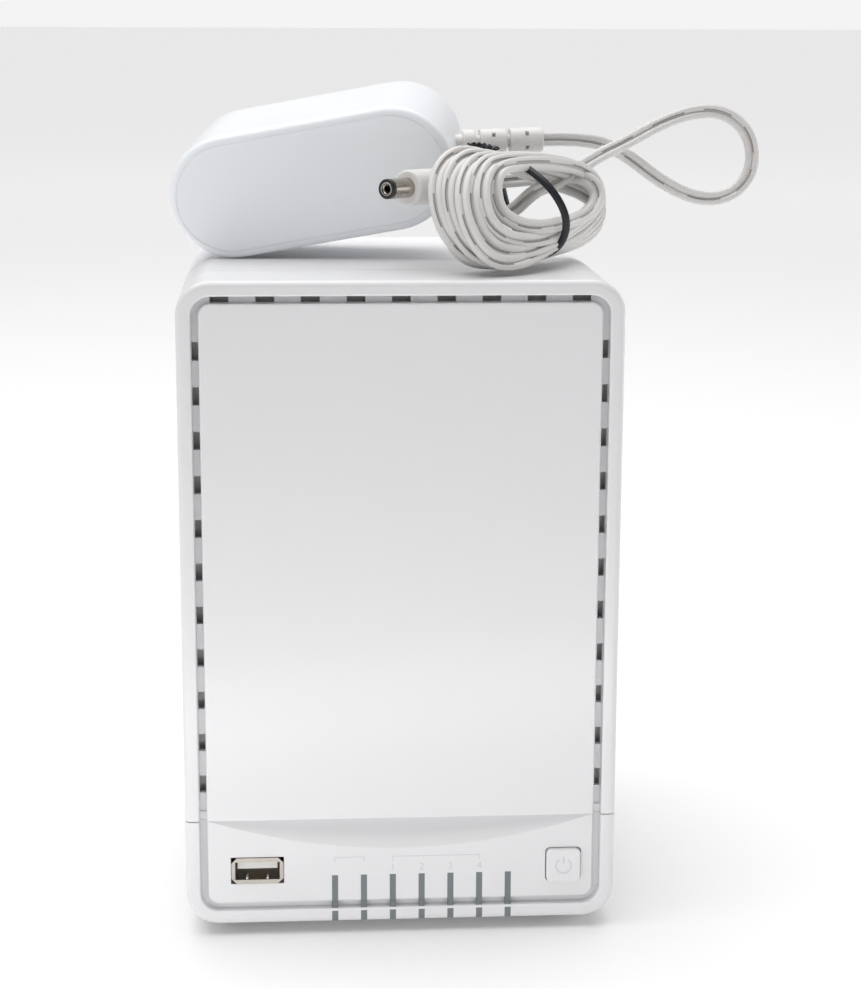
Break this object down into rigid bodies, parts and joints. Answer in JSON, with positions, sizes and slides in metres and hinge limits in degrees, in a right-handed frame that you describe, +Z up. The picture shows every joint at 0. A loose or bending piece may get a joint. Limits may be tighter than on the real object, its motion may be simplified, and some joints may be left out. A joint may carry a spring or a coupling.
{
  "type": "network video recorder",
  "caption": "Desktop network video recorder with a pull-off vented front cover, internal drives and fan, and its plug-in power adapter and tied output cord lying on top.",
  "frame": {"origin": "on the surface the recorder stands on, below the middle of its body", "axes": "+X to the right seen from the front, +Y to the back, +Z up"},
  "size_m": [0.1777, 0.1268, 0.2354],
  "materials": {
    "white_plastic": "satin gloss white moulding",
    "matte_white_plastic": "matte white moulding",
    "foot_rubber": "matte",
    "black_steel": "black zinc",
    "zinc_steel": "bright zinc",
    "cast_aluminium": "as cast",
    "drive_cover_steel": "satin",
    "green_board": "solder resist",
    "black_plastic": "satin",
    "chip_plastic": "matte",
    "sink_aluminium": "anodised",
    "capacitor_sleeve": "shrink sleeve",
    "cell_steel": "bright",
    "connector_steel": "nickel plated",
    "gold_contact": "gold flash",
    "white_insert": "satin",
    "plated_pin": "nickel plated",
    "lead_sleeve": "vinyl sleeve",
    "lamp_body": "clear epoxy",
    "dark_light_bar": "smoked, polished",
    "ribbon_film": "film",
    "adapter_plastic": "satin, slightly bluish white",
    "transformer_tape": "taped",
    "cord_vinyl": "warm grey-white vinyl",
    "tie_plastic": "black coated wire"
  },
  "bodies": {
    "recorder": {"front_housing": "white_plastic", "rear_housing": "matte_white_plastic", "rubber_feet": "foot_rubber", "housing_screws": "black_steel", "drive_cage": "zinc_steel", "cage_screws": "zinc_steel", "left_drive_base": "cast_aluminium", "right_drive_base": "cast_aluminium", "left_drive_cover": "drive_cover_steel", "right_drive_cover": "drive_cover_steel", "left_drive_board": "green_board", "right_drive_board": "green_board", "drive_screws": "zinc_steel", "main_board": "green_board", "board_screws": "zinc_steel", "drive_sockets": "black_plastic", "board_chips": "chip_plastic", "heat_sink": "sink_aluminium", "capacitors": "capacitor_sleeve", "backup_cell": "cell_steel", "network_jack": "connector_steel", "network_contacts": "gold_contact", "rear_usb_ports": "connector_steel", "rear_usb_tongues": "white_insert", "dc_jack": "black_plastic", "dc_jack_pin": "plated_pin", "reset_switch": "black_plastic", "fan_frame": "black_plastic", "fan_screws": "black_steel", "fan_header": "white_insert", "fan_lead": "lead_sleeve", "front_board": "green_board", "front_board_screws": "zinc_steel", "front_usb_shell": "connector_steel", "front_usb_tongue": "white_insert", "front_usb_contacts": "gold_contact", "status_leds": "lamp_body", "light_guide": "dark_light_bar", "power_switch": "black_plastic", "ribbon_headers": "white_insert", "front_ribbon": "ribbon_film"},
    "front_cover": {"front_cover": "white_plastic"},
    "power_button": {"power_button": "white_plastic", "power_plunger": "black_plastic"},
    "reset_button": {"reset_plunger": "white_insert"},
    "fan_rotor": {"fan_rotor": "black_plastic"},
    "power_adapter": {"adapter_case": "adapter_plastic", "adapter_lid": "adapter_plastic", "mains_blades": "plated_pin", "adapter_board": "green_board", "adapter_transformer": "transformer_tape", "adapter_capacitors": "capacitor_sleeve", "strain_relief": "cord_vinyl", "cord_loop": "cord_vinyl", "cord_hank": "cord_vinyl", "cord_tail": "cord_vinyl", "cord_tie": "tie_plastic", "plug_body": "cord_vinyl", "plug_barrel": "plated_pin", "plug_insulator": "black_plastic"}
  },
  "joints": [
    {"name": "cover_pull", "type": "slide", "parent": "recorder", "child": "front_cover", "axis": [0, -1, 0], "range_m": [0, 0.04]},
    {"name": "power_press", "type": "slide", "parent": "recorder", "child": "power_button", "axis": [0, 1, 0], "range_m": [0, 0.0006], "stiffness_N_per_m": 900, "springref_m": -0.001},
    {"name": "reset_press", "type": "slide", "parent": "recorder", "child": "reset_button", "axis": [0, -1, 0], "range_m": [0, 0.0004], "stiffness_N_per_m": 900, "springref_m": -0.001},
    {"name": "fan_spin", "type": "hinge", "parent": "recorder", "child": "fan_rotor", "pos_m": [0, 0.0533, 0.112], "axis": [0, 1, 0], "continuous": true},
    {"name": "adapter_lift", "type": "slide", "parent": "recorder", "child": "power_adapter", "axis": [0, 0, 1], "range_m": [0, 0.08]}
  ]
}
